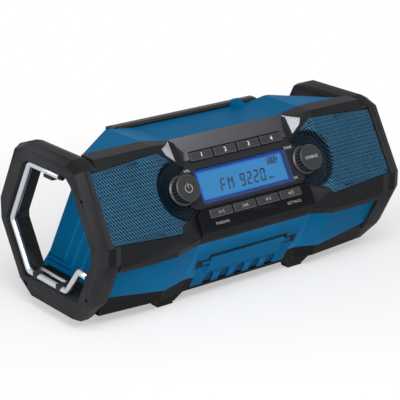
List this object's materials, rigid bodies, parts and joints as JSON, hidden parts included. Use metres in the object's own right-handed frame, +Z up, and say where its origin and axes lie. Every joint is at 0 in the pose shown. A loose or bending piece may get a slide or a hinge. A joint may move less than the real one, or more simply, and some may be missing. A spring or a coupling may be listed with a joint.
{
  "type": "jobsite radio",
  "caption": "Rugged portable radio: faceted blue body with leaning control face, two speakers, display, knobs and keys, a hexagonal roll cage at each end and a fold-out wire hook.",
  "frame": {"origin": "ground under the rubber feet, below the middle of the radio's length and depth", "axes": "+X along the length, to the right of someone facing the controls; +Y to the back; +Z up"},
  "size_m": [0.41, 0.1928, 0.1846],
  "materials": {
    "cage_plastic": "matt black reinforced plastic with a fine grain",
    "housing_blue": "satin blue moulded plastic with a fine grain",
    "black_plastic": "matt black moulded plastic",
    "panel_black": "satin black control panel plastic",
    "visor_grey": "dark grey moulded plastic",
    "grille_mesh": "perforated sheet painted dark blue-black",
    "knob_plastic": "fluted matt black plastic",
    "key_rubber": "dark grey soft key",
    "lcd_glass": "clear display window",
    "lcd_panel": "blue backlit display",
    "board_green": "printed circuit board",
    "switch_black": "moulded component body",
    "feet_rubber": "black rubber",
    "steel_wire": "bright plated steel wire",
    "clip_plastic": "black plastic",
    "antenna_black": "black flexible plastic",
    "pin_steel": "steel",
    "paper_cone": "coated paper cone",
    "basket_steel": "black pressed steel",
    "magnet_grey": "ferrite magnet",
    "socket_black": "black socket block with metal contacts",
    "contact_brass": "brass blades",
    "screw_steel": "zinc plated steel"
  },
  "bodies": {
    "radio": {"left_cage": "cage_plastic", "right_cage": "cage_plastic", "rear_housing": "housing_blue", "lower_front": "housing_blue", "left_end_panel": "housing_blue", "right_end_panel": "housing_blue", "battery_bay": "black_plastic", "socket_tray": "black_plastic", "base_shell": "black_plastic", "rubber_feet": "feet_rubber", "front_frame": "black_plastic", "left_grille": "grille_mesh", "right_grille": "grille_mesh", "visor_panel": "visor_grey", "display_bezel": "panel_black", "chin_panel": "panel_black", "lcd_window": "lcd_glass", "lcd_module": "lcd_panel", "main_board": "board_green", "key_switches": "switch_black", "volume_encoder": "switch_black", "tuning_encoder": "switch_black", "antenna_pin": "pin_steel", "flap_pins": "pin_steel", "port_block": "socket_black", "hook_clip": "clip_plastic", "guard_rod": "steel_wire", "battery_dock": "black_plastic", "contact_block": "switch_black", "battery_contacts": "contact_brass", "cage_screws": "screw_steel", "frame_screws": "screw_steel", "board_screws": "screw_steel", "left_speaker_basket": "basket_steel", "left_speaker_cone": "paper_cone", "left_speaker_magnet": "magnet_grey", "right_speaker_basket": "basket_steel", "right_speaker_cone": "paper_cone", "right_speaker_magnet": "magnet_grey"},
    "hook": {"hook_wire": "steel_wire", "hook_tip": "clip_plastic"},
    "antenna": {"antenna": "antenna_black"},
    "flap": {"port_flap": "housing_blue"},
    "volume_push": {"volume_plunger": "switch_black"},
    "volume_knob": {"volume_knob": "knob_plastic", "volume_shaft": "pin_steel"},
    "tuning_push": {"tuning_plunger": "switch_black"},
    "tuning_knob": {"tuning_knob": "knob_plastic", "tuning_shaft": "pin_steel"},
    "preset_key_1": {"preset_key_1": "key_rubber"},
    "function_key_1": {"function_key_1": "key_rubber"},
    "preset_key_2": {"preset_key_2": "key_rubber"},
    "function_key_2": {"function_key_2": "key_rubber"},
    "preset_key_3": {"preset_key_3": "key_rubber"},
    "function_key_3": {"function_key_3": "key_rubber"},
    "preset_key_4": {"preset_key_4": "key_rubber"},
    "function_key_4": {"function_key_4": "key_rubber"}
  },
  "joints": [
    {"name": "hook_swing", "type": "hinge", "parent": "radio", "child": "hook", "pos_m": [-0.2, 0.008, 0.0364], "axis": [0, -1, 0], "range_deg": [0, 90]},
    {"name": "antenna_lift", "type": "hinge", "parent": "radio", "child": "antenna", "pos_m": [-0.0984, 0.0323, 0.176], "axis": [0, -1, 0], "range_deg": [0, 90]},
    {"name": "flap_open", "type": "hinge", "parent": "radio", "child": "flap", "pos_m": [0, -0.07041, 0.04807], "axis": [-1, 0, 0], "range_deg": [0, 110]},
    {"name": "volume_press", "type": "slide", "parent": "radio", "child": "volume_push", "axis": [0, 0.866, -0.5], "range_m": [0, 0.0008], "stiffness_N_per_m": 1500, "springref_m": -0.001},
    {"name": "volume_turn", "type": "hinge", "parent": "volume_push", "child": "volume_knob", "pos_m": [-0.0839, -0.07978, 0.13902], "axis": [0, -0.866, 0.5], "continuous": true},
    {"name": "tuning_press", "type": "slide", "parent": "radio", "child": "tuning_push", "axis": [0, 0.866, -0.5], "range_m": [0, 0.0008], "stiffness_N_per_m": 1500, "springref_m": -0.001},
    {"name": "tuning_turn", "type": "hinge", "parent": "tuning_push", "child": "tuning_knob", "pos_m": [0.0839, -0.07978, 0.13902], "axis": [0, -0.866, 0.5], "continuous": true},
    {"name": "preset_key_1_press", "type": "slide", "parent": "radio", "child": "preset_key_1", "axis": [0, 0.866, -0.5], "range_m": [0, 0.001], "stiffness_N_per_m": 900, "springref_m": -0.001},
    {"name": "preset_key_2_press", "type": "slide", "parent": "radio", "child": "preset_key_2", "axis": [0, 0.866, -0.5], "range_m": [0, 0.001], "stiffness_N_per_m": 900, "springref_m": -0.001},
    {"name": "preset_key_3_press", "type": "slide", "parent": "radio", "child": "preset_key_3", "axis": [0, 0.866, -0.5], "range_m": [0, 0.001], "stiffness_N_per_m": 900, "springref_m": -0.001},
    {"name": "preset_key_4_press", "type": "slide", "parent": "radio", "child": "preset_key_4", "axis": [0, 0.866, -0.5], "range_m": [0, 0.001], "stiffness_N_per_m": 900, "springref_m": -0.001},
    {"name": "function_key_1_press", "type": "slide", "parent": "radio", "child": "function_key_1", "axis": [0, 0.866, -0.5], "range_m": [0, 0.001], "stiffness_N_per_m": 900, "springref_m": -0.001},
    {"name": "function_key_2_press", "type": "slide", "parent": "radio", "child": "function_key_2", "axis": [0, 0.866, -0.5], "range_m": [0, 0.001], "stiffness_N_per_m": 900, "springref_m": -0.001},
    {"name": "function_key_3_press", "type": "slide", "parent": "radio", "child": "function_key_3", "axis": [0, 0.866, -0.5], "range_m": [0, 0.001], "stiffness_N_per_m": 900, "springref_m": -0.001},
    {"name": "function_key_4_press", "type": "slide", "parent": "radio", "child": "function_key_4", "axis": [0, 0.866, -0.5], "range_m": [0, 0.001], "stiffness_N_per_m": 900, "springref_m": -0.001}
  ]
}
